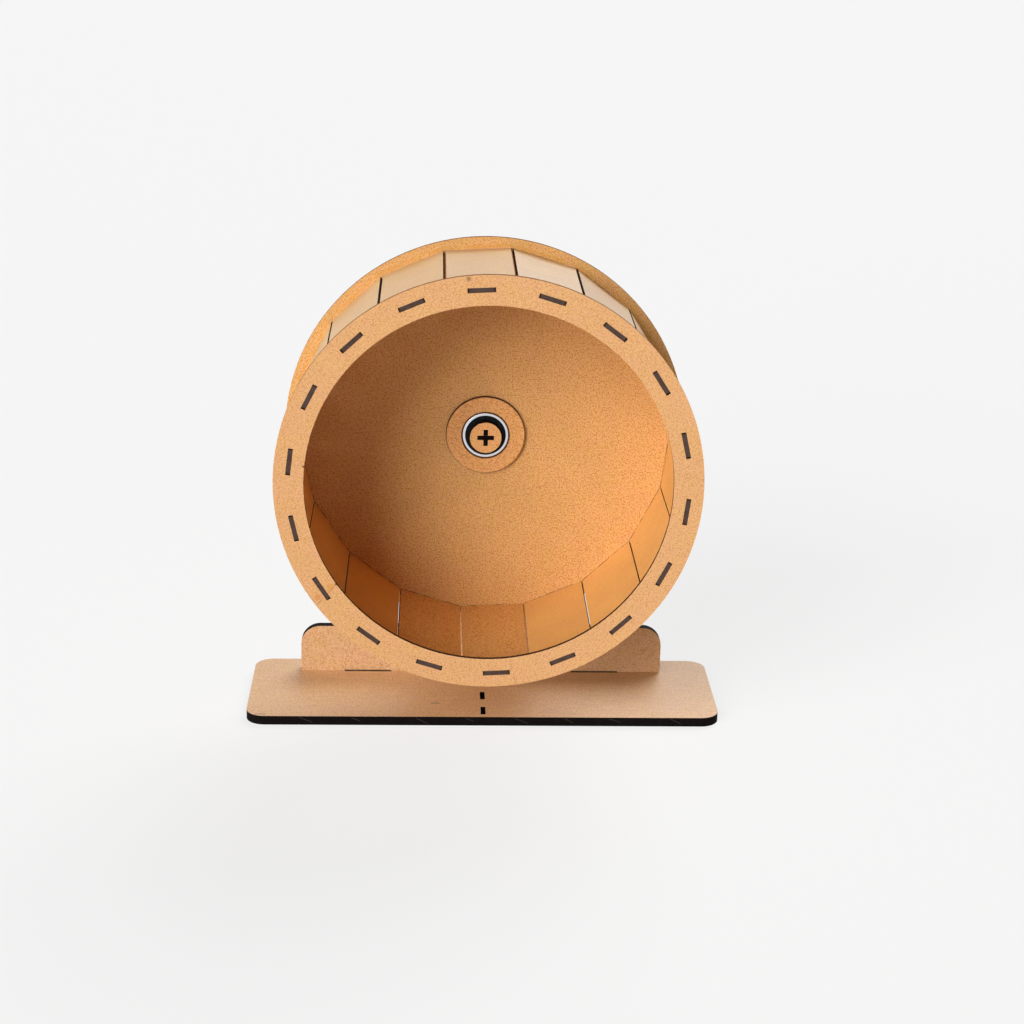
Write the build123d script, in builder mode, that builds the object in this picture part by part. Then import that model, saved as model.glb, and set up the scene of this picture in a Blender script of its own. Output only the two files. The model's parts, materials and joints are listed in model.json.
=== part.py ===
from build123d import *
import os
from math import cos, radians, sin, sqrt, tan

# Rodent exercise wheel: a drum of flat boards on a ball bearing, held by one upright on a base board.
# Millimetres. X runs across the wheel, Y from the open front to the back, Z up.
# The origin is the centre of the whole object's footprint, on the underside of the base board.

# Boards
thin_board = 3.0
thick_board = 6.5
board_fit = 0.1

# Drum
wheel_diameter = 280.0
opening_diameter = 240.5
track_width = 119.0
slat_count = 18
slat_circle_diameter = 260.4
slat_gap = 1.1
slat_tab_width = 16.0
slat_slot_length = 18.0
slat_tab_recess = 0.3
rest_turn = 3.0

# Hub boards
hub_ring_diameter = 55.0
hub_cap_diameter = 22.0
spacer_thickness = 3.0
axle_end_recess = 0.3

# Ball bearing
bearing_diameter = 32.0
bearing_bore = 12.0
bearing_width = 10.0
bearing_edge_radius = 0.3
bearing_seat_fit = 0.05
bore_fit = 0.05
ball_count = 7
ball_diameter = 5.95
ball_fit = 0.04
outer_shoulder_diameter = 25.8
inner_shoulder_diameter = 18.2
seal_seat_diameter = 28.6
seal_thickness = 0.9
seal_recess = 0.3
seal_fit = 0.02
seal_lip_gap = 0.2
cage_wall = 1.8
cage_end_wall = 0.5
cage_fit = 0.1

# Stand
wheel_clearance = 44.0
base_width = 331.0
base_depth = 104.5
base_corner_radius = 13.0
base_setback = 49.0
foot_width = 262.5
foot_height = 34.6
foot_corner_radius = 14.0
foot_tab_width = 33.0
foot_tab_offset = 82.8
foot_slot_front_gap = 1.0
column_width = 80.0
column_fillet_radius = 14.0
open_slot_length = 13.0
open_slot_width = 3.4
open_slot_margin = 4.6
open_slot_pitch = 26.3

# Heights
wheel_radius = wheel_diameter / 2
base_top = thick_board
axis_height = base_top + wheel_clearance + wheel_radius
foot_top = base_top + foot_height

# Places along Y, counted back from the front face of the front ring
ring_back = thin_board
disc_front = ring_back + track_width
disc_back = disc_front + thin_board
hub_front = disc_front - thin_board
hub_back = disc_back + thin_board
bearing_back = hub_front + bearing_width
cap_front = hub_front - thick_board
upright_front = bearing_back + spacer_thickness
upright_back = upright_front + thick_board
rear_cap_back = upright_back + thick_board
base_middle = base_setback + base_depth / 2
bearing_middle = hub_front + bearing_width / 2
footprint_middle = max(base_setback + base_depth, rear_cap_back) / 2

# Slats
slat_radius = slat_circle_diameter / 2
slat_width = 2 * (slat_radius - thin_board / 2) * tan(radians(180 / slat_count)) - slat_gap
slat_tab_length = thin_board - slat_tab_recess
board_slot_width = thin_board + 2 * board_fit

# Axle: two boards that cross, as wide as the bearing's bore lets them be
strip_width = 2 * sqrt((bearing_bore / 2 - bore_fit) ** 2 - (thin_board / 2) ** 2)
strip_front = cap_front + axle_end_recess
strip_back = rear_cap_back - axle_end_recess
strip_length = strip_back - strip_front
strip_middle = (strip_front + strip_back) / 2

# Bearing
pitch_radius = (bearing_diameter + bearing_bore) / 4
race_radius = ball_diameter / 2 + ball_fit
pocket_radius = ball_diameter / 2 + cage_fit
cage_width = 2 * (pocket_radius + cage_end_wall)
seal_seat_depth = seal_recess + seal_thickness


def facing(y):
    """A plane across the wheel's axis, y behind the front ring's face, that looks to the front."""
    return Plane(origin=(0, y - footprint_middle, axis_height), x_dir=(1, 0, 0), z_dir=(0, -1, 0))


def slat_plane(number):
    """The middle plane of one slat: its x runs from front to back and its normal points outwards."""
    turn = radians(90 + rest_turn + number * 360 / slat_count)
    outwards = Vector(cos(turn), 0, sin(turn))
    drum_centre = Vector(0, ring_back + track_width / 2 - footprint_middle, axis_height)
    return Plane(origin=drum_centre + outwards * slat_radius, x_dir=(0, 1, 0), z_dir=outwards)


def cut_cross_hole():
    """Cuts the plus-shaped hole that the crossed axle strips pass through."""
    Rectangle(strip_width + 2 * board_fit, board_slot_width, mode=Mode.SUBTRACT)
    Rectangle(board_slot_width, strip_width + 2 * board_fit, mode=Mode.SUBTRACT)


def cut_slat_slots():
    """Cuts the circle of slots that the slats' tabs stand in."""
    with PolarLocations(slat_radius, slat_count, start_angle=90 + rest_turn):
        Rectangle(board_slot_width, slat_slot_length, mode=Mode.SUBTRACT)


def cut_bearing_seat():
    """Cuts the round hole that the bearing's outer ring sits in."""
    Circle(bearing_diameter / 2 + bearing_seat_fit, mode=Mode.SUBTRACT)


os.makedirs("parts", exist_ok=True)

# Base board: two slots take the upright's tabs, and two open slots lie on its centre line
with BuildPart() as base_plate:
    with BuildSketch(Plane(origin=(0, base_middle - footprint_middle, 0))):
        RectangleRounded(base_width, base_depth, base_corner_radius)
        foot_slot_depth = foot_slot_front_gap + thick_board + board_fit
        foot_slot_middle = upright_front - foot_slot_front_gap + foot_slot_depth / 2 - base_middle
        with Locations((-foot_tab_offset, foot_slot_middle), (foot_tab_offset, foot_slot_middle)):
            Rectangle(foot_tab_width + 2 * board_fit, foot_slot_depth, mode=Mode.SUBTRACT)
        first_open_slot = open_slot_margin + open_slot_length / 2 - base_depth / 2
        with Locations((0, first_open_slot), (0, first_open_slot + open_slot_pitch)):
            Rectangle(open_slot_width, open_slot_length, mode=Mode.SUBTRACT)
    extrude(amount=thick_board)
base_plate.part.label = "base_plate"
export_step(base_plate.part, "parts/base_plate.step")

# Upright: a wide foot with two tabs into the base, and a column with a round top about the axle
with BuildPart() as upright:
    with BuildSketch(facing(upright_back)) as upright_outline:
        with Locations((0, base_top + foot_height / 2 - axis_height)):
            Rectangle(foot_width, foot_height)
        foot_corners = upright_outline.vertices().group_by(Axis.Y)[-1]
        fillet(foot_corners, foot_corner_radius)
        with Locations((0, (base_top - axis_height) / 2)):
            Rectangle(column_width, axis_height - base_top)
        column_corners = upright_outline.vertices().filter_by_position(
            Axis.Y, foot_top - axis_height - board_fit, foot_top - axis_height + board_fit
        )
        fillet(column_corners.filter_by_position(Axis.X, -column_width, column_width), column_fillet_radius)
        Circle(column_width / 2)
        with Locations(
            (-foot_tab_offset, base_top / 2 - axis_height), (foot_tab_offset, base_top / 2 - axis_height)
        ):
            Rectangle(foot_tab_width, base_top)
        cut_cross_hole()
    extrude(amount=thick_board)
upright.part.label = "upright"
export_step(upright.part, "parts/upright.step")

# Back disc, between the slats and the upright
with BuildPart() as back_disc:
    with BuildSketch(facing(disc_back)):
        Circle(wheel_radius)
        cut_slat_slots()
        cut_bearing_seat()
    extrude(amount=thin_board)
back_disc.part.label = "back_disc"
export_step(back_disc.part, "parts/back_disc.step")

# Front ring, with the round opening that the animal climbs in through
with BuildPart() as front_ring:
    with BuildSketch(facing(ring_back)):
        Circle(wheel_radius)
        Circle(opening_diameter / 2, mode=Mode.SUBTRACT)
        cut_slat_slots()
    extrude(amount=thin_board)
front_ring.part.label = "front_ring"
export_step(front_ring.part, "parts/front_ring.step")

# Slats: flat boards whose end tabs stand in the ring's and the disc's slots
for number in range(slat_count):
    with BuildPart() as slat:
        with BuildSketch(slat_plane(number)):
            Rectangle(track_width, slat_width)
            Rectangle(track_width + 2 * slat_tab_length, slat_tab_width)
        extrude(amount=thin_board / 2, both=True)
    slat.part.label = f"slat_{number + 1:02d}"
    export_step(slat.part, f"parts/{slat.part.label}.step")

# Hub rings, one on each face of the back disc, which widen the bearing's seat
with BuildPart() as hub_ring_front:
    with BuildSketch(facing(disc_front)):
        Circle(hub_ring_diameter / 2)
        cut_bearing_seat()
    extrude(amount=thin_board)
hub_ring_front.part.label = "hub_ring_front"
export_step(hub_ring_front.part, "parts/hub_ring_front.step")

with BuildPart() as hub_ring_rear:
    with BuildSketch(facing(hub_back)):
        Circle(hub_ring_diameter / 2)
        cut_bearing_seat()
    extrude(amount=thin_board)
hub_ring_rear.part.label = "hub_ring_rear"
export_step(hub_ring_rear.part, "parts/hub_ring_rear.step")

# Front cap, which holds the bearing's inner ring back against the spacer
with BuildPart() as front_cap:
    with BuildSketch(facing(hub_front)):
        Circle(hub_cap_diameter / 2)
        cut_cross_hole()
    extrude(amount=thick_board)
front_cap.part.label = "front_cap"
export_step(front_cap.part, "parts/front_cap.step")

# Spacer disc, between the bearing's inner ring and the upright
with BuildPart() as spacer_disc:
    with BuildSketch(facing(upright_front)):
        Circle(hub_cap_diameter / 2)
        cut_cross_hole()
    extrude(amount=spacer_thickness)
spacer_disc.part.label = "spacer_disc"
export_step(spacer_disc.part, "parts/spacer_disc.step")

# Rear cap, behind the upright
with BuildPart() as rear_cap:
    with BuildSketch(facing(rear_cap_back)):
        Circle(hub_cap_diameter / 2)
        cut_cross_hole()
    extrude(amount=thick_board)
rear_cap.part.label = "rear_cap"
export_step(rear_cap.part, "parts/rear_cap.step")

# Axle strips: each is cut to the middle of its length, so that the two slide into one another
upright_strip_plane = Plane(
    origin=(0, strip_middle - footprint_middle, axis_height), x_dir=(0, 1, 0), z_dir=(1, 0, 0)
)
with BuildPart() as axle_strip_upright:
    with BuildSketch(upright_strip_plane):
        Rectangle(strip_length, strip_width)
        with Locations((-strip_length / 4 + board_fit / 2, 0)):
            Rectangle(strip_length / 2 + board_fit, board_slot_width, mode=Mode.SUBTRACT)
    extrude(amount=thin_board / 2, both=True)
axle_strip_upright.part.label = "axle_strip_upright"
export_step(axle_strip_upright.part, "parts/axle_strip_upright.step")

flat_strip_plane = Plane(
    origin=(0, strip_middle - footprint_middle, axis_height), x_dir=(0, 1, 0), z_dir=(0, 0, 1)
)
with BuildPart() as axle_strip_flat:
    with BuildSketch(flat_strip_plane):
        Rectangle(strip_length, strip_width)
        with Locations((strip_length / 4 - board_fit / 2, 0)):
            Rectangle(strip_length / 2 + board_fit, board_slot_width, mode=Mode.SUBTRACT)
    extrude(amount=thin_board / 2, both=True)
axle_strip_flat.part.label = "axle_strip_flat"
export_step(axle_strip_flat.part, "parts/axle_strip_flat.step")

# Half section of the bearing: x is the radius and y runs along the axle
bearing_section = Plane(
    origin=(0, bearing_middle - footprint_middle, axis_height), x_dir=(1, 0, 0), z_dir=(0, 0, 1)
)
wheel_axis = Axis((0, bearing_middle - footprint_middle, axis_height), (0, 1, 0))
outer_shoulder_radius = outer_shoulder_diameter / 2
inner_shoulder_radius = inner_shoulder_diameter / 2
seal_seat_radius = seal_seat_diameter / 2

# Bearing outer ring, with a ball groove and a step for each seal
with BuildPart() as bearing_outer_ring:
    with BuildSketch(bearing_section) as outer_section:
        outer_wall = bearing_diameter / 2 - outer_shoulder_radius
        with Locations((outer_shoulder_radius + outer_wall / 2, 0)):
            Rectangle(outer_wall, bearing_width)
        fillet(outer_section.vertices().group_by(Axis.X)[-1], bearing_edge_radius)
        seal_step = seal_seat_radius - outer_shoulder_radius
        seal_step_middle = (bearing_width - seal_seat_depth) / 2
        step_radius = outer_shoulder_radius + seal_step / 2
        with Locations((step_radius, seal_step_middle), (step_radius, -seal_step_middle)):
            Rectangle(seal_step, seal_seat_depth, mode=Mode.SUBTRACT)
        with Locations((pitch_radius, 0)):
            Circle(race_radius, mode=Mode.SUBTRACT)
    revolve(axis=wheel_axis)
bearing_outer_ring.part.label = "bearing_outer_ring"
export_step(bearing_outer_ring.part, "parts/bearing_outer_ring.step")

# Bearing inner ring, clamped between the front cap and the spacer
with BuildPart() as bearing_inner_ring:
    with BuildSketch(bearing_section):
        inner_wall = inner_shoulder_radius - bearing_bore / 2
        with Locations((bearing_bore / 2 + inner_wall / 2, 0)):
            Rectangle(inner_wall, bearing_width)
        with Locations((pitch_radius, 0)):
            Circle(race_radius, mode=Mode.SUBTRACT)
    revolve(axis=wheel_axis)
bearing_inner_ring.part.label = "bearing_inner_ring"
export_step(bearing_inner_ring.part, "parts/bearing_inner_ring.step")

# Bearing balls
with BuildPart() as bearing_balls:
    with Locations(facing(bearing_middle)):
        with PolarLocations(pitch_radius, ball_count):
            Sphere(ball_diameter / 2)
bearing_balls.part.label = "bearing_balls"
export_step(bearing_balls.part, "parts/bearing_balls.step")

# Bearing cage, which keeps the balls apart
with BuildPart() as bearing_cage:
    with BuildSketch(facing(bearing_middle)):
        Circle(pitch_radius + cage_wall / 2)
        Circle(pitch_radius - cage_wall / 2, mode=Mode.SUBTRACT)
    extrude(amount=cage_width / 2, both=True)
    with Locations(facing(bearing_middle)):
        with PolarLocations(pitch_radius, ball_count):
            Cylinder(pocket_radius, 2 * cage_wall, rotation=(0, 90, 0), mode=Mode.SUBTRACT)
bearing_cage.part.label = "bearing_cage"
export_step(bearing_cage.part, "parts/bearing_cage.step")

# Bearing seals, which sit in the outer ring and stop just short of the inner ring
seal_inner_radius = inner_shoulder_radius + seal_lip_gap
seal_outer_radius = seal_seat_radius - seal_fit
with BuildPart() as bearing_seal_front:
    with BuildSketch(facing(hub_front + seal_seat_depth)):
        Circle(seal_outer_radius)
        Circle(seal_inner_radius, mode=Mode.SUBTRACT)
    extrude(amount=seal_thickness)
bearing_seal_front.part.label = "bearing_seal_front"
export_step(bearing_seal_front.part, "parts/bearing_seal_front.step")

with BuildPart() as bearing_seal_rear:
    with BuildSketch(facing(bearing_back - seal_recess)):
        Circle(seal_outer_radius)
        Circle(seal_inner_radius, mode=Mode.SUBTRACT)
    extrude(amount=seal_thickness)
bearing_seal_rear.part.label = "bearing_seal_rear"
export_step(bearing_seal_rear.part, "parts/bearing_seal_rear.step")
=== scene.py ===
"""Looks of the rodent exercise wheel: raw fibreboard with burnt edges, and a sealed steel bearing."""

import json
import math

import bpy
from mathutils import Matrix, Vector


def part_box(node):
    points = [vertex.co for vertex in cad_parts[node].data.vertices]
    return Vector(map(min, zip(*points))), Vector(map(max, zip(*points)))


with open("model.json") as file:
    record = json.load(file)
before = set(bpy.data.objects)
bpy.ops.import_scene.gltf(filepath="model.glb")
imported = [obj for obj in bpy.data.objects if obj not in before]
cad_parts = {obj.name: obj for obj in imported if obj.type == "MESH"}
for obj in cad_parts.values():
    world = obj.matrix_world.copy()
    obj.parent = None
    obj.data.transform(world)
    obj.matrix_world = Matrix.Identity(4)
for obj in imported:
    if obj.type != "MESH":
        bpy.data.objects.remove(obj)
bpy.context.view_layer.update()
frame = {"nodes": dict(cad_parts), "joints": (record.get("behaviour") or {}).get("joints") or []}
nodes = frame["nodes"]

# Places in the frame that the camera is set out from, in metres
ring_low, ring_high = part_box("front_ring")
wheel_joint = next(joint for joint in frame["joints"] if joint["name"] == "wheel_spin")
axle_height = wheel_joint["pos_m"][2]
wheel_front = Vector((0, ring_low.y, axle_height))

# Places and sizes that the materials are set out from, in millimetres
MILLIMETRES = 1000.0
AXLE = (0.0, 0.0, axle_height * MILLIMETRES)
bearing_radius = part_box("bearing_outer_ring")[1].x * MILLIMETRES
hub_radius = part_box("hub_ring_front")[1].x * MILLIMETRES
wheel_radius = ring_high.x * MILLIMETRES
ring_front = ring_low.y * MILLIMETRES
cap_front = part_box("front_cap")[0].y * MILLIMETRES
disc_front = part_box("back_disc")[0].y * MILLIMETRES
upright_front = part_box("upright")[0].y * MILLIMETRES
base_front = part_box("base_plate")[0].y * MILLIMETRES
base_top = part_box("base_plate")[1].z * MILLIMETRES

# The slats are turned a little at rest, so the track's radius is worked out from the turned slat's box
SLAT_COUNT = 18
SLAT_THICKNESS = 3.0
slat_low, slat_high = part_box("slat_01")
slat_middle = (slat_low + slat_high) / 2
rest_turn = math.atan2(-slat_middle.x, slat_middle.z - axle_height)
slat_bottom = (slat_low.z - axle_height) * MILLIMETRES
slat_half_width = (slat_high.x - slat_low.x) / 2 * MILLIMETRES
track_radius = (slat_bottom + slat_half_width * math.sin(rest_turn)) / math.cos(rest_turn)

# The upright's two tabs in the base, as places across it, in millimetres
TABS = (-82.8, 82.8)
TAB_HALF_WIDTH = 16.8

# Camera, placed from the middle of the front ring's face
PHOTO_SIDE = 1024
FOCAL_PIXELS = 2149.2
SENSOR_WIDTH = 36.0
CAMERA_OFFSET = Vector((-0.0367, -1.3261, 0.4262))
CAMERA_YAW = math.radians(2.236)
CAMERA_PITCH = math.radians(18.459)
CAMERA_ROLL = math.radians(1.193)

# Floor and surround
FLOOR_HALF_SIDE = 12.0
FLOOR_COLOUR = (0.85, 0.85, 0.85)
FLOOR_ROUGHNESS = 0.9
FLOOR_SPECULAR = 0.1
PLAIN_WHITE = (1.0, 1.0, 1.0)
BACKDROP_SHARE = 0.75
WORLD_SHOWN = 0.93
WORLD_FILL = 0.02

# Directions
ACROSS = (1.0, 0.0, 0.0)
BACKWARDS = (0.0, 1.0, 0.0)
UPWARDS = (0.0, 0.0, 1.0)
SQUARE_TO_AXLE = (1, 0, 1)

# Sockets of Blender's mix node, by place: first value, second value, result
MIX_COLOURS = (6, 7, 2)
MIX_NUMBERS = (2, 3, 0)

# Grain of the boards, with sizes in millimetres
SPECKLE_SIZE = 1.05
PATCH_SIZE = 26.0
WARMTH_SIZE = 11.0
WARMTH_OFFSET = (70, 30, 50)
GRAIN_STRETCH = (14.0, 0.9, 0.9)
FIBRE_STRETCH = (2.6, 0.42, 0.42)
FIBRE_TURNS = ((0, 20, 10), (15, 80, 0), (40, 140, 70))
FIBRE_SHARE = 0.08
FIBRE_DARKNESS = 0.4
SPECKLE_DARKNESS = 1.6
USUAL_DARKNESS = 0.18
MOST_DARKNESS = 0.9
FACE_LIGHT = 1.1

# Burnt edges, with sizes in millimetres
EDGE_LINE_WIDTH = 0.25
EDGE_LINE_LENGTH = 9.0
SOOT_SIZE = 5.0
EDGE_LEAST_LIGHT = 0.25

# Sheen of the boards. The face's roughness goes from the first value to the second as its grain rises.
BOARD_SPECULAR = 0.05
BOARD_COAT_ROUGHNESS = 0.5
BOARD_BUMP = 0.02
FACE_ROUGHNESS = (0.62, 0.5)
EDGE_ROUGHNESS = 0.75


def paint(red, green, blue):
    """A colour given as a screen shows it, 0 to 255, in the linear values that a shader takes."""
    screen = [value / 255 for value in (red, green, blue)]
    return tuple(v / 12.92 if v <= 0.04045 else ((v + 0.055) / 1.055) ** 2.4 for v in screen)


def shade(colour, factor):
    """The same colour, lighter or darker."""
    return tuple(min(channel * factor, 1.0) for channel in colour)


def tinted(colour, tint):
    """The same colour with each channel scaled by its own factor."""
    return tuple(channel * factor for channel, factor in zip(colour, tint))


# Colours of the boards
RING_TAN = paint(223, 171, 119)
DISC_TAN = paint(220, 173, 115)
SLAT_TAN = paint(224, 172, 104)
# Paler tan of the slats' outer faces: painted sheen
SLAT_TAN_PAINTED_SHEEN = paint(219, 180, 132)
SPECKLED_TAN = paint(224, 173, 110)
HUB_TAN = paint(228, 173, 114)
BASE_TAN = paint(219, 180, 138)
FOOT_TAN = paint(210, 169, 130)
CAP_TAN = paint(232, 179, 120)
RIM_BROWN = paint(150, 104, 66)
THIN_CHAR = paint(70, 50, 38)
THICK_CHAR = paint(16, 11, 10)
TAB_ASH = paint(86, 70, 65)

# Colours of the marks
# Brown of the scorch marks, also used for painted shade where parts meet
SCORCH_AND_SHADE_BROWN = paint(70, 36, 14)
# Black of the soot spot on the ring, also used for painted shade along the tabs
SOOT_AND_SHADE_BLACK = paint(14, 10, 8)
STAIN_ORANGE = paint(214, 122, 52)
STAIN_YELLOW = paint(216, 152, 62)
SMUDGE_GREY = paint(122, 92, 68)
SCRATCH_PALE = paint(96, 86, 80)

# Colours of the bearing
RING_STEEL = paint(222, 222, 226)
BALL_STEEL = paint(235, 235, 238)
CAGE_STEEL = paint(190, 188, 182)
RUBBER_BLACK = paint(8, 9, 12)
# Bluish tone of the seals: painted sheen
RUBBER_BLUE_SHEEN = paint(22, 30, 38)

# What a board's tan is scaled by, where it is yellower, redder or darker
YELLOWER = (0.997, 1.012, 0.95)
REDDER = (1.003, 0.985, 1.04)
SPECK_BROWN = (0.70, 0.45, 0.10)


class Shader:
    """One material, whose nodes are added by short calls."""

    def __init__(self, name):
        self.material = bpy.data.materials.new(name)
        self.material.use_nodes = True
        self.tree = self.material.node_tree
        self.surface = self.tree.nodes["Principled BSDF"]
        coordinates = self.add("ShaderNodeTexCoord")
        self.place = self.vector("SCALE", coordinates.outputs["Object"], scale=MILLIMETRES)
        self.normal = coordinates.outputs["Normal"]

    def add(self, kind, **settings):
        node = self.tree.nodes.new(kind)
        for name, value in settings.items():
            setattr(node, name, value)
        return node

    def feed(self, socket, value):
        """Links a value made by another node, or writes a plain one."""
        if isinstance(value, bpy.types.NodeSocket):
            self.tree.links.new(value, socket)
        elif socket.type == "RGBA":
            socket.default_value = (*value, 1.0)
        else:
            socket.default_value = value

    def math(self, operation, *values):
        node = self.add("ShaderNodeMath", operation=operation)
        for socket, value in zip(node.inputs, values):
            self.feed(socket, value)
        return node.outputs[0]

    def vector(self, operation, *values, scale=None):
        node = self.add("ShaderNodeVectorMath", operation=operation)
        for socket, value in zip(node.inputs, values):
            self.feed(socket, value)
        if scale is not None:
            self.feed(node.inputs["Scale"], scale)
        gives_number = operation in ("DOT_PRODUCT", "LENGTH", "DISTANCE")
        return node.outputs["Value" if gives_number else "Vector"]

    def mixed(self, kind, sockets, share, first, second):
        node = self.add("ShaderNodeMix", data_type=kind)
        first_input, second_input, result = sockets
        self.feed(node.inputs["Factor"], share)
        self.feed(node.inputs[first_input], first)
        self.feed(node.inputs[second_input], second)
        return node.outputs[result]

    def mix(self, share, first, second):
        """The first colour where share is 0, and the second where it is 1."""
        return self.mixed("RGBA", MIX_COLOURS, share, first, second)

    def blend(self, share, first, second):
        """The same as mix, for plain numbers."""
        return self.mixed("FLOAT", MIX_NUMBERS, share, first, second)

    def rise(self, value, start, end, low=0.0, high=1.0):
        """Goes smoothly from low, where the value is at start, to high, where it is at end."""
        node = self.add("ShaderNodeMapRange", interpolation_type="SMOOTHSTEP")
        for socket, number in zip(node.inputs, (value, start, end, low, high)):
            self.feed(socket, number)
        return node.outputs[0]

    def noise(self, place, size, detail=2.0, roughness=0.5):
        """Cloudy noise around 0.5, whose largest features are about size millimetres wide."""
        node = self.add("ShaderNodeTexNoise")
        self.feed(node.inputs["Vector"], place)
        self.feed(node.inputs["Scale"], 1.0 / size)
        self.feed(node.inputs["Detail"], detail)
        self.feed(node.inputs["Roughness"], roughness)
        return node.outputs[0]

    def swing(self, noise, width, middle):
        """Noise around 0.5, made width times as strong and moved to another middle."""
        return self.math("MULTIPLY_ADD", self.math("SUBTRACT", noise, 0.5), width, middle)

    def stretched(self, turn, stretch):
        """The place, turned and then squeezed along its own axes, for noise that runs in streaks."""
        node = self.add("ShaderNodeMapping", vector_type="TEXTURE")
        self.feed(node.inputs["Vector"], self.place)
        self.feed(node.inputs["Rotation"], [math.radians(angle) for angle in turn])
        self.feed(node.inputs["Scale"], stretch)
        return node.outputs[0]

    def way_from_axle(self):
        """The shortest way from the wheel's axis to a point."""
        return self.vector("MULTIPLY", self.vector("SUBTRACT", self.place, AXLE), SQUARE_TO_AXLE)

    def distance_from_axle(self):
        return self.vector("LENGTH", self.way_from_axle())

    def bump(self, height, depth):
        """Raises the surface by up to depth millimetres."""
        node = self.add("ShaderNodeBump")
        self.feed(node.inputs["Height"], height)
        self.feed(node.inputs["Distance"], depth / MILLIMETRES)
        self.feed(self.surface.inputs["Normal"], node.outputs[0])

    def finish(self, **values):
        """Feeds the surface's inputs, each named in small letters, and gives the material."""
        for name, value in values.items():
            self.feed(self.surface.inputs[name.replace("_", " ").title().replace("Ior", "IOR")], value)
        return self.material


def fibres(shader):
    """Short thin fibres that lie every way in the board: 1 on a fibre and 0 beside it."""
    found = None
    for turn in FIBRE_TURNS:
        along = shader.stretched(turn, FIBRE_STRETCH)
        layer = shader.rise(shader.noise(along, 1.0, detail=1.0), 0.74 - FIBRE_SHARE, 0.80 - FIBRE_SHARE)
        found = layer if found is None else shader.math("MAXIMUM", found, layer)
    return found


def board_face(shader, tan, flecks, blotches, streaks):
    """Colour and height of the board's pressed face."""
    speckle = shader.noise(shader.place, SPECKLE_SIZE, detail=3.0, roughness=0.75)
    patches = shader.noise(shader.place, PATCH_SIZE, detail=3.0)
    warmth = shader.noise(shader.vector("ADD", shader.place, WARMTH_OFFSET), WARMTH_SIZE)
    grain = shader.noise(shader.stretched((0, 0, 0), GRAIN_STRETCH), 1.0)
    colour = shader.mix(shader.rise(warmth, 0.35, 0.65), tinted(tan, REDDER), tinted(tan, YELLOWER))
    light = shader.swing(patches, blotches, FACE_LIGHT)
    light = shader.swing(grain, streaks, light)
    colour = shader.vector("SCALE", colour, scale=light)
    pits = shader.math("SUBTRACT", 0.5, speckle)
    dark = shader.math("MULTIPLY_ADD", pits, flecks * SPECKLE_DARKNESS, USUAL_DARKNESS)
    dark = shader.math("MULTIPLY_ADD", fibres(shader), min(flecks, 1.0) * FIBRE_DARKNESS, dark)
    dark = shader.math("MINIMUM", shader.math("MAXIMUM", dark, 0.0), MOST_DARKNESS)
    return shader.mix(dark, colour, tinted(tan, SPECK_BROWN)), speckle


def burnt_edge(shader, char, thin_axis):
    """Colour and height of a laser-cut edge: fine lines run through the board, from face to face."""
    squeezed = [EDGE_LINE_WIDTH if part == 0 else EDGE_LINE_LENGTH for part in thin_axis]
    lines = shader.noise(shader.stretched((0, 0, 0), squeezed), 1.0)
    soot = shader.noise(shader.place, SOOT_SIZE, detail=3.0)
    light = shader.swing(lines, 1.6, 1.0)
    light = shader.swing(soot, 1.2, light)
    return shader.vector("SCALE", char, scale=shader.math("MAXIMUM", light, EDGE_LEAST_LIGHT)), lines


def board(name, tan, char, thin_axis, flecks=0.5, blotches=0.1, streaks=0.0, gloss=0.2, outside=None,
          rim_radius=None, marks=(), edge_marks=()):
    """Fibreboard cut by laser.

    thin_axis is the way the board is thin, or None where it is thin towards the axle.
    outside is the tan and gloss of the faces that point away from the axle, where those differ; a paler
    tan there is painted sheen.
    rim_radius is where the board's outer rim lies, if that is less burnt than its other edges.
    """
    shader = Shader(name)
    facing = thin_axis or shader.vector("NORMALIZE", shader.way_from_axle())
    outwards = shader.vector("DOT_PRODUCT", shader.normal, facing)
    burnt = shader.rise(shader.math("ABSOLUTE", outwards), 0.75, 0.6)
    face, face_height = board_face(shader, tan, flecks, blotches, streaks)
    if outside is not None:
        outside_tan, outside_gloss = outside
        # Faces that point away from the axle take the outside tan, which can carry painted sheen
        is_outside = shader.rise(outwards, 0.0, 0.5)
        outside_face, _ = board_face(shader, outside_tan, flecks, blotches, streaks)
        face = shader.mix(is_outside, face, outside_face)
        gloss = shader.blend(is_outside, gloss, outside_gloss)
    for mark in marks:
        face = mark(shader, face)
    if rim_radius is not None:
        on_rim = shader.rise(shader.distance_from_axle(), rim_radius - 1.5, rim_radius - 0.5)
        char = shader.mix(on_rim, char, RIM_BROWN)
    edge, edge_height = burnt_edge(shader, char, thin_axis or BACKWARDS)
    for mark in edge_marks:
        edge = mark(shader, edge)
    shader.bump(shader.blend(burnt, face_height, edge_height), BOARD_BUMP)
    face_roughness = shader.rise(face_height, 0.3, 0.7, *FACE_ROUGHNESS)
    return shader.finish(
        base_color=shader.mix(burnt, face, edge),
        roughness=shader.blend(burnt, face_roughness, EDGE_ROUGHNESS),
        specular_ior_level=BOARD_SPECULAR,
        coat_weight=shader.blend(burnt, gloss, 0.0),
        coat_roughness=BOARD_COAT_ROUGHNESS,
    )


def stain(where, radius, colour, strength):
    """A soft spot on a board's face."""
    def add_to(shader, face):
        ragged = shader.noise(shader.place, radius)
        ragged = shader.math("MULTIPLY_ADD", ragged, radius, -radius / 2)
        gap = shader.math("ADD", shader.vector("DISTANCE", shader.place, where), ragged)
        return shader.mix(shader.rise(gap, radius, radius * 0.3, 0.0, strength), face, colour)
    return add_to


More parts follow.
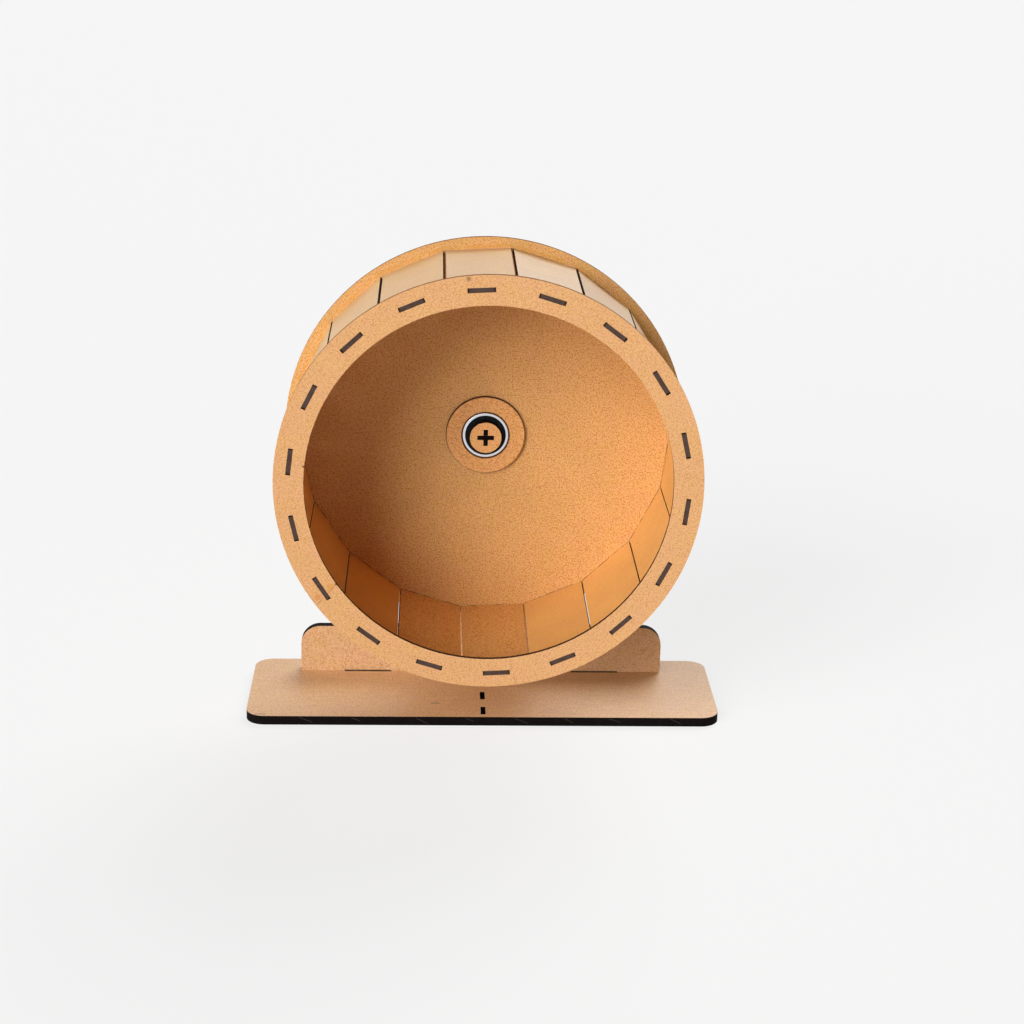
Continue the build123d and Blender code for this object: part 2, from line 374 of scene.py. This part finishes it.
def scorch_and_shade_round(radius, width, colour, strength):
    """A dark line round the axis, from radius outwards, with all that lies inside it. It is painted shade
    on the disc round the hub ring, and burn with painted shade on the hub ring round the bearing.
    """
    def add_to(shader, face):
        gap = shader.math("SUBTRACT", shader.distance_from_axle(), radius)
        return shader.mix(shader.rise(gap, width, width * 0.5, 0.0, strength), face, colour)
    return add_to


def scorch_inside(radius, width, colour, strength):
    """A burnt line round the axis, from radius inwards."""
    def add_to(shader, face):
        share = shader.rise(shader.distance_from_axle(), radius - width, radius, 0.0, strength)
        return shader.mix(share, face, colour)
    return add_to


def stain_and_shade_along_slats(radius, width, colour, strength):
    """A broken line on the disc, along the flat sides of a ring of slats, from radius inwards."""
    step = 2 * math.pi / SLAT_COUNT

    def add_to(shader, face):
        from_axle = shader.vector("SUBTRACT", shader.place, AXLE)
        across = shader.vector("DOT_PRODUCT", from_axle, ACROSS)
        up = shader.vector("DOT_PRODUCT", from_axle, UPWARDS)
        turned = shader.math("ADD", shader.math("ARCTAN2", across, up), rest_turn + 2 * math.pi + step / 2)
        off_middle = shader.math("SUBTRACT", shader.math("MODULO", turned, step), step / 2)
        height = shader.math("MULTIPLY", shader.math("COSINE", off_middle), shader.distance_from_axle())
        line = shader.rise(height, radius - width, radius - width / 2)
        broken = shader.noise(shader.place, 7.0, detail=3.0)
        broken = shader.rise(broken, 0.4, 0.6, 0.15 * strength, strength)
        within = shader.rise(height, radius + 0.3, radius + 0.1)
        share = shader.math("MULTIPLY", shader.math("MULTIPLY", line, within), broken)
        return shader.mix(share, face, colour)
    return add_to


def scratch(start, end, width, colour, strength):
    """A fine straight line on a face, from start to end."""
    line = Vector(end) - Vector(start)

    def add_to(shader, face):
        along = shader.vector("SUBTRACT", shader.place, start)
        share = shader.vector("DOT_PRODUCT", along, tuple(line / line.length_squared))
        share = shader.math("MAXIMUM", 0.0, shader.math("MINIMUM", share, 1.0))
        nearest = shader.vector("SCALE", tuple(line), scale=share)
        gap = shader.vector("DISTANCE", along, nearest)
        return shader.mix(shader.rise(gap, width, width * 0.4, 0.0, strength), face, colour)
    return add_to


def painted_shade_along_tabs(back, width):
    """Painted shade: dark lines where the upright's two tabs go into the base, standing in for the shade
    in the narrow gaps there.
    """
    return tuple(
        scratch((tab - TAB_HALF_WIDTH, back, base_top), (tab + TAB_HALF_WIDTH, back, base_top), width,
                SOOT_AND_SHADE_BLACK, 0.9)
        for tab in TABS
    )


def ash_on_ends(colour, strength):
    """The greyer burn on the ends of a slat's tabs."""
    def add_to(shader, edge):
        facing = shader.math("ABSOLUTE", shader.vector("DOT_PRODUCT", shader.normal, BACKWARDS))
        ragged = shader.rise(shader.noise(shader.place, 3.0), 0.3, 0.6, 0.5 * strength, strength)
        return shader.mix(shader.math("MULTIPLY", shader.rise(facing, 0.6, 0.9), ragged), edge, colour)
    return add_to


def on_ring(across, up):
    """A place on the front ring's face, counted from the axle."""
    return (across, ring_front, AXLE[2] + up)


def on_base(across, back):
    """A place on the top of the base."""
    return (across, back, base_top)


def steel(name, colour, roughness):
    """Ground steel, with faint lines round the axis."""
    shader = Shader(name)
    turned = shader.math("MULTIPLY", shader.distance_from_axle(), 6.0)
    lines = shader.add("ShaderNodeTexNoise", noise_dimensions="1D")
    shader.feed(lines.inputs["W"], turned)
    shader.feed(lines.inputs["Scale"], 1.0)
    smudges = shader.noise(shader.place, 6.0, detail=3.0)
    shader.bump(lines.outputs[0], 0.004)
    return shader.finish(
        base_color=shader.mix(smudges, shade(colour, 0.92), shade(colour, 1.06)),
        metallic=1.0,
        roughness=shader.rise(smudges, 0.3, 0.7, roughness, roughness + 0.12),
    )


def rubber(name):
    """Black moulded rubber of the bearing's seals, with bluish patches of painted sheen."""
    shader = Shader(name)
    grain = shader.noise(shader.place, 0.35, detail=3.0)
    # Patches where the rubber takes a bluish painted sheen
    sheen_patches = shader.noise(shader.place, 4.0, detail=3.0)
    shader.bump(grain, 0.02)
    return shader.finish(
        base_color=shader.mix(shader.rise(sheen_patches, 0.4, 0.75), RUBBER_BLACK, RUBBER_BLUE_SHEEN),
        roughness=shader.rise(grain, 0.3, 0.7, 0.5, 0.65),
        specular_ior_level=0.12,
    )


def dress(material, *names):
    """Puts a material on CAD nodes."""
    for name in names:
        for slot in nodes[name].material_slots:
            slot.material = material


def dress_front_ring():
    """The ring's stains, nicks and hairlines lie where the photograph shows them."""
    marks = (
        stain(on_ring(-103.3, -70.2), 3.6, STAIN_YELLOW, 0.6),
        stain(on_ring(-111.2, -76.8), 3.0, STAIN_ORANGE, 0.5),
        stain(on_ring(-15.0, 137.2), 2.2, SCORCH_AND_SHADE_BROWN, 0.5),
        stain(on_ring(-119.9, 12.6), 1.3, SCORCH_AND_SHADE_BROWN, 0.9),
        stain(on_ring(-99.0, -67.5), 1.5, SOOT_AND_SHADE_BLACK, 0.9),
        scratch(on_ring(-99.2, -67.7), on_ring(-112.1, -82.3), 0.3, SCORCH_AND_SHADE_BROWN, 0.3),
        scratch(on_ring(16.5, -123.6), on_ring(16.6, -128.0), 0.3, SCORCH_AND_SHADE_BROWN, 0.45),
        scratch(on_ring(18.3, -130.8), on_ring(20.2, -138.1), 0.3, SCORCH_AND_SHADE_BROWN, 0.45),
    )
    ring_board = board("ring_board", RING_TAN, THIN_CHAR, BACKWARDS, flecks=2.2, gloss=0.6,
                       rim_radius=wheel_radius, marks=marks)
    dress(ring_board, "front_ring")


def dress_back_disc():
    """The disc has painted shade in thin dark lines round the hub ring and along the slats' inner sides,
    where those parts meet it, with amber smears outside of the slats.
    """
    marks = (
        # Painted shade where the hub ring stands on the disc
        scorch_and_shade_round(hub_radius - 0.1, 0.7, SCORCH_AND_SHADE_BROWN, 0.75),
        # Painted shade in the corner where the slats' inner sides meet the disc
        stain_and_shade_along_slats(track_radius, 0.8, SCORCH_AND_SHADE_BROWN, 0.65),
        stain_and_shade_along_slats(track_radius + SLAT_THICKNESS + 2.6, 2.6, STAIN_YELLOW, 0.5),
        stain((33.0, disc_front, 328.8), 2.0, STAIN_ORANGE, 0.6),
    )
    disc_board = board("disc_board", DISC_TAN, THIN_CHAR, BACKWARDS, flecks=3.4, blotches=0.2,
                       rim_radius=wheel_radius, marks=marks)
    dress(disc_board, "back_disc")


def dress_slats():
    """Two slats are rougher than the rest, and all are glossier outside than inside, and paler there with
    painted sheen.
    """
    slats = sorted(name for name in nodes if name.startswith("slat_"))
    rough = ("slat_09", "slat_10")
    smooth = [name for name in slats if name not in rough]
    # The paler outer tan is painted sheen
    outside = (SLAT_TAN_PAINTED_SHEEN, 1.0)
    tab_ends = (ash_on_ends(TAB_ASH, 0.9),)
    smooth_board = board("slat_board", SLAT_TAN, THIN_CHAR, None, flecks=0.7, blotches=0.25, streaks=0.12,
                         outside=outside, edge_marks=tab_ends)
    dress(smooth_board, *smooth)
    rough_board = board("slat_board_rough", SPECKLED_TAN, THIN_CHAR, None, flecks=5.0,
                        outside=outside, edge_marks=tab_ends)
    dress(rough_board, *rough)


def dress_hub():
    """The rings and the spacer round the bearing share one board, burnt along the rim, and dark along the
    bearing, where the line is burn at the cut bore together with painted shade of the gap round the
    bearing.
    """
    marks = (
        # Burn at the cut bore, with painted shade of the gap round the bearing
        scorch_and_shade_round(bearing_radius + 0.4, 0.9, SCORCH_AND_SHADE_BROWN, 0.95),
        scorch_inside(hub_radius, 0.7, SCORCH_AND_SHADE_BROWN, 0.6),
    )
    hub_board = board("hub_board", HUB_TAN, THIN_CHAR, BACKWARDS, flecks=3.0, marks=marks)
    dress(hub_board, "hub_ring_front", "hub_ring_rear", "spacer_disc")


def dress_axle():
    """The caps, and the two crossed strips whose ends show as a plus."""
    mark = stain((8.3, cap_front, AXLE[2] - 5.0), 1.1, STAIN_ORANGE, 0.7)
    cap_board = board("cap_board", CAP_TAN, THICK_CHAR, BACKWARDS, flecks=2.0, marks=(mark,))
    dress(cap_board, "front_cap", "rear_cap")
    dress(board("axle_board_upright", HUB_TAN, THICK_CHAR, ACROSS), "axle_strip_upright")
    dress(board("axle_board_flat", HUB_TAN, THICK_CHAR, UPWARDS), "axle_strip_flat")


def dress_base():
    """The base has two smudges, painted shade along the tabs and pale scratches on its black front edge.
    """
    marks = (
        scratch(on_base(-36.2, -3.8), on_base(-31.2, -3.8), 1.0, SMUDGE_GREY, 0.9),
        scratch(on_base(-158.8, -24.4), on_base(-151.9, -24.4), 0.9, SMUDGE_GREY, 0.8),
        # Painted shade of the gap in front of the tabs
        *painted_shade_along_tabs(upright_front - 1.2, 0.9),
    )
    # Start across the edge, length across and drop of each pale scratch
    scratches = ((-128, 9, 3.5), (-92, 6, 2.4), (-47, 8, 4.0), (-12, 5, 2.2),
                 (22, 9, 3.6), (57, 6, 3.4), (88, 8, 2.6), (131, 7, 3.2))
    top = base_top - 1.0
    edge_marks = tuple(
        scratch((across, base_front, top), (across + length, base_front, top - drop), 0.22,
                SCRATCH_PALE, 0.5)
        for across, length, drop in scratches
    )
    base_board = board("base_board", BASE_TAN, THICK_CHAR, UPWARDS, flecks=2.4, streaks=0.5, gloss=1.0,
                       marks=marks, edge_marks=edge_marks)
    dress(base_board, "base_plate")


def dress_upright():
    """The upright has painted shade along its tabs and one smudge on its foot."""
    marks = (
        # Painted shade on the foot along the tabs, where they go into the base
        *painted_shade_along_tabs(upright_front, 0.7),
        scratch((121.3, upright_front, 25.4), (116.4, upright_front, 19.9), 0.5, SMUDGE_GREY, 0.5),
    )
    upright_board = board("upright_board", FOOT_TAN, THICK_CHAR, BACKWARDS, flecks=2.2, marks=marks)
    dress(upright_board, "upright")


def dress_bearing():
    """Steel rings, balls and cage, with a rubber seal on each side."""
    dress(steel("bearing_steel", RING_STEEL, 0.24), "bearing_outer_ring", "bearing_inner_ring")
    dress(steel("ball_steel", BALL_STEEL, 0.1), "bearing_balls")
    dress(steel("cage_steel", CAGE_STEEL, 0.3), "bearing_cage")
    dress(rubber("seal_rubber"), "bearing_seal_front", "bearing_seal_rear")


def add_camera():
    """The photograph's viewpoint: a little above the wheel and a little to its left."""
    data = bpy.data.cameras.new("camera")
    data.sensor_width = SENSOR_WIDTH
    data.lens = FOCAL_PIXELS / PHOTO_SIDE * SENSOR_WIDTH
    camera = bpy.data.objects.new("camera", data)
    bpy.context.scene.collection.objects.link(camera)
    look = Matrix.Rotation(-CAMERA_YAW, 4, "Z") @ Matrix.Rotation(math.pi / 2 - CAMERA_PITCH, 4, "X")
    camera.matrix_world = (
        Matrix.Translation(wheel_front + CAMERA_OFFSET) @ look @ Matrix.Rotation(CAMERA_ROLL, 4, "Z")
    )
    bpy.context.scene.camera = camera


def add_floor():
    """A pale floor under a pale world. Seen straight or in gloss, it is lit and mixed with plain white."""
    mesh = bpy.data.meshes.new("floor")
    side = FLOOR_HALF_SIDE
    corners = [(-side, -side, 0), (side, -side, 0), (side, side, 0), (-side, side, 0)]
    mesh.from_pydata(corners, [], [(0, 1, 2, 3)])
    floor = bpy.data.objects.new("floor", mesh)
    bpy.context.scene.collection.objects.link(floor)
    shader = Shader("floor")
    shader.finish(base_color=FLOOR_COLOUR, roughness=FLOOR_ROUGHNESS, specular_ior_level=FLOOR_SPECULAR)
    white = shader.add("ShaderNodeEmission")
    shader.feed(white.inputs["Color"], PLAIN_WHITE)
    rays = shader.add("ShaderNodeLightPath")
    shown = shader.math("MAXIMUM", rays.outputs["Is Camera Ray"], rays.outputs["Is Glossy Ray"])
    shown = shader.math("MAXIMUM", shown, rays.outputs["Is Transmission Ray"])
    mixed = shader.add("ShaderNodeMixShader")
    shader.feed(mixed.inputs[0], shader.math("MULTIPLY", shown, BACKDROP_SHARE))
    shader.feed(mixed.inputs[1], shader.surface.outputs[0])
    shader.feed(mixed.inputs[2], white.outputs[0])
    shader.feed(shader.tree.nodes["Material Output"].inputs["Surface"], mixed.outputs[0])
    mesh.materials.append(shader.material)


def add_sun(name, azimuth, elevation, strength, spread):
    """A far soft lamp. The azimuth is counted from the front, and is positive to the right."""
    data = bpy.data.lights.new(name, "SUN")
    data.energy = strength
    data.angle = math.radians(spread)
    lamp = bpy.data.objects.new(name, data)
    bpy.context.scene.collection.objects.link(lamp)
    turn = Matrix.Rotation(math.radians(azimuth), 4, "Z")
    lamp.matrix_world = turn @ Matrix.Rotation(math.radians(90 - elevation), 4, "X")


def add_lights():
    """A soft key lamp from the front left, a second one from behind, and a white surround for gloss."""
    add_sun("key", azimuth=-38, elevation=21, strength=3.2, spread=42)
    add_sun("back", azimuth=152, elevation=39, strength=1.85, spread=40)
    world = bpy.data.worlds.new("world")
    bpy.context.scene.world = world
    world.use_nodes = True
    tree = world.node_tree
    background = tree.nodes["Background"]
    background.inputs["Color"].default_value = (*PLAIN_WHITE, 1.0)
    rays = tree.nodes.new("ShaderNodeLightPath")
    fill = tree.nodes.new("ShaderNodeMapRange")
    fill.inputs["To Min"].default_value = WORLD_SHOWN
    fill.inputs["To Max"].default_value = WORLD_FILL
    tree.links.new(rays.outputs["Is Diffuse Ray"], fill.inputs["Value"])
    tree.links.new(fill.outputs[0], background.inputs["Strength"])


add_camera()
add_floor()
add_lights()
dress_front_ring()
dress_back_disc()
dress_slats()
dress_hub()
dress_axle()
dress_base()
dress_upright()
dress_bearing()
bpy.context.scene.view_settings.view_transform = "Standard"
